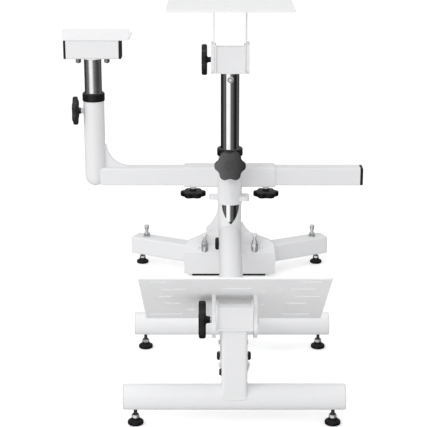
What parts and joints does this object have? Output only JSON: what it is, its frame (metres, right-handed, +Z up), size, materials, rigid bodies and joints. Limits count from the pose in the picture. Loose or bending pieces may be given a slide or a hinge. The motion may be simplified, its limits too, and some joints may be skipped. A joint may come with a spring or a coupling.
{
  "type": "driving simulator wheel stand",
  "caption": "Floor-standing frame with a telescoping column under a tilting wheel deck, a tilting slotted pedal plate and a sliding side arm for a gear shifter.",
  "frame": {"origin": "on the floor, at the axis of the wheel column, at the centre front part of the base pad", "axes": "+Z up, -Y from the column towards the pedal end, +X to the right seen from the pedal end; the shifter arm's post is on -X"},
  "size_m": [0.8335, 1.2495, 0.7555],
  "materials": {
    "white_paint": "satin white powder coat, light orange peel",
    "plate_paint": "satin white powder coat on laser-cut sheet",
    "white_plastic": "moulded white tube plug",
    "black_plastic": "moulded black nylon, fine grain",
    "foot_plastic": "moulded black nylon with a black steel stud",
    "black_steel": "blackened steel",
    "zinc": "bright zinc plate",
    "chrome_tube": "polished chrome",
    "rubber_pad": "matte black rubber"
  },
  "bodies": {
    "stand": {"main_tube": "white_paint", "front_crossbar": "white_paint", "mid_crossbar": "white_paint", "crossbar_end_caps": "white_plastic", "front_upright": "white_paint", "upright_spigot": "white_paint", "spigot_bolts": "black_steel", "pedal_tilt_box": "white_paint", "column_tube": "white_paint", "base_shell": "white_paint", "base_plate": "white_paint", "base_pad": "rubber_pad", "left_leg": "white_paint", "right_leg": "white_paint", "leg_end_caps": "white_plastic", "leg_end_bolts": "zinc", "base_studs": "zinc", "tube_clamp_cap": "black_plastic", "column_bush": "black_plastic", "arm_carrier": "white_paint", "sleeve_liners": "black_plastic"},
    "pedal_deck": {"pedal_plate": "plate_paint", "pedal_brackets": "white_paint", "pedal_pivot_bolt": "zinc"},
    "pedal_knob": {"pedal_tilt_knob": "black_plastic"},
    "column": {"chrome_column": "chrome_tube", "column_slide_bush": "black_plastic", "wheel_tilt_box": "white_paint", "neck_bolt": "zinc"},
    "wheel_plate": {"wheel_deck": "plate_paint", "wheel_brackets": "white_paint", "wheel_pivot_bolt": "zinc"},
    "wheel_knob": {"wheel_tilt_knob": "black_plastic"},
    "column_knob": {"main_knob": "black_plastic", "main_knob_screw": "zinc"},
    "arm": {"arm_tube": "white_paint", "arm_end_cap": "black_plastic", "arm_post": "white_paint", "post_bush": "black_plastic"},
    "arm_knob_left": {"sleeve_knob_left": "black_plastic", "sleeve_screw_left": "zinc"},
    "arm_knob_right": {"sleeve_knob_right": "black_plastic", "sleeve_screw_right": "zinc"},
    "shifter": {"post_slide_bush": "black_plastic", "chrome_post": "chrome_tube", "shifter_box": "white_paint", "box_end_caps": "black_plastic", "shifter_plate": "plate_paint", "shifter_bolts": "black_steel"},
    "shifter_knob": {"post_knob": "black_plastic", "post_knob_screw": "zinc"},
    "levelling_foot_front_left": {"foot_front_left": "foot_plastic"},
    "levelling_foot_front_right": {"foot_front_right": "foot_plastic"},
    "levelling_foot_mid_left": {"foot_mid_left": "foot_plastic"},
    "levelling_foot_mid_right": {"foot_mid_right": "foot_plastic"},
    "levelling_foot_rear_left": {"foot_rear_left": "foot_plastic"},
    "levelling_foot_rear_right": {"foot_rear_right": "foot_plastic"}
  },
  "joints": [
    {"name": "column_height", "type": "slide", "parent": "stand", "child": "column", "axis": [0, 0, 1], "range_m": [-0.11, 0.09]},
    {"name": "wheel_tilt", "type": "hinge", "parent": "column", "child": "wheel_plate", "pos_m": [0, 0, 0.61], "axis": [1, 0, 0], "range_deg": [-45, 20]},
    {"name": "pedal_tilt", "type": "hinge", "parent": "stand", "child": "pedal_deck", "pos_m": [0, -0.977, 0.236], "axis": [1, 0, 0], "range_deg": [-6, 30]},
    {"name": "arm_slide", "type": "slide", "parent": "stand", "child": "arm", "axis": [1, 0, 0], "range_m": [-0.18, 0.09]},
    {"name": "shifter_height", "type": "slide", "parent": "arm", "child": "shifter", "axis": [0, 0, 1], "range_m": [-0.075, 0.08]},
    {"name": "column_knob_turn", "type": "hinge", "parent": "stand", "child": "column_knob", "pos_m": [0, -0.06, 0.329], "axis": [0, 1, 0], "continuous": true},
    {"name": "arm_knob_left_turn", "type": "hinge", "parent": "stand", "child": "arm_knob_left", "pos_m": [-0.1035, 0.0635, 0.22], "axis": [0, 0, 1], "continuous": true},
    {"name": "arm_knob_right_turn", "type": "hinge", "parent": "stand", "child": "arm_knob_right", "pos_m": [0.1035, 0.0635, 0.22], "axis": [0, 0, 1], "continuous": true},
    {"name": "shifter_knob_turn", "type": "hinge", "parent": "arm", "child": "shifter_knob", "pos_m": [-0.43, 0.0635, 0.455], "axis": [1, 0, 0], "continuous": true},
    {"name": "wheel_knob_turn", "type": "hinge", "parent": "wheel_plate", "child": "wheel_knob", "pos_m": [-0.07, 0, 0.61], "axis": [1, 0, 0], "continuous": true},
    {"name": "pedal_knob_turn", "type": "hinge", "parent": "pedal_deck", "child": "pedal_knob", "pos_m": [-0.065, -0.977, 0.236], "axis": [1, 0, 0], "continuous": true},
    {"name": "foot_front_left_turn", "type": "hinge", "parent": "stand", "child": "levelling_foot_front_left", "pos_m": [-0.2094, -0.977, 0.03], "axis": [0, 0, 1], "continuous": true},
    {"name": "foot_front_right_turn", "type": "hinge", "parent": "stand", "child": "levelling_foot_front_right", "pos_m": [0.2094, -0.977, 0.03], "axis": [0, 0, 1], "continuous": true},
    {"name": "foot_mid_left_turn", "type": "hinge", "parent": "stand", "child": "levelling_foot_mid_left", "pos_m": [-0.2094, -0.555, 0.03], "axis": [0, 0, 1], "continuous": true},
    {"name": "foot_mid_right_turn", "type": "hinge", "parent": "stand", "child": "levelling_foot_mid_right", "pos_m": [0.2094, -0.555, 0.03], "axis": [0, 0, 1], "continuous": true},
    {"name": "foot_rear_left_turn", "type": "hinge", "parent": "stand", "child": "levelling_foot_rear_left", "pos_m": [-0.2518, 0.087, 0.03], "axis": [0, 0, 1], "continuous": true},
    {"name": "foot_rear_right_turn", "type": "hinge", "parent": "stand", "child": "levelling_foot_rear_right", "pos_m": [0.2518, 0.087, 0.03], "axis": [0, 0, 1], "continuous": true}
  ]
}
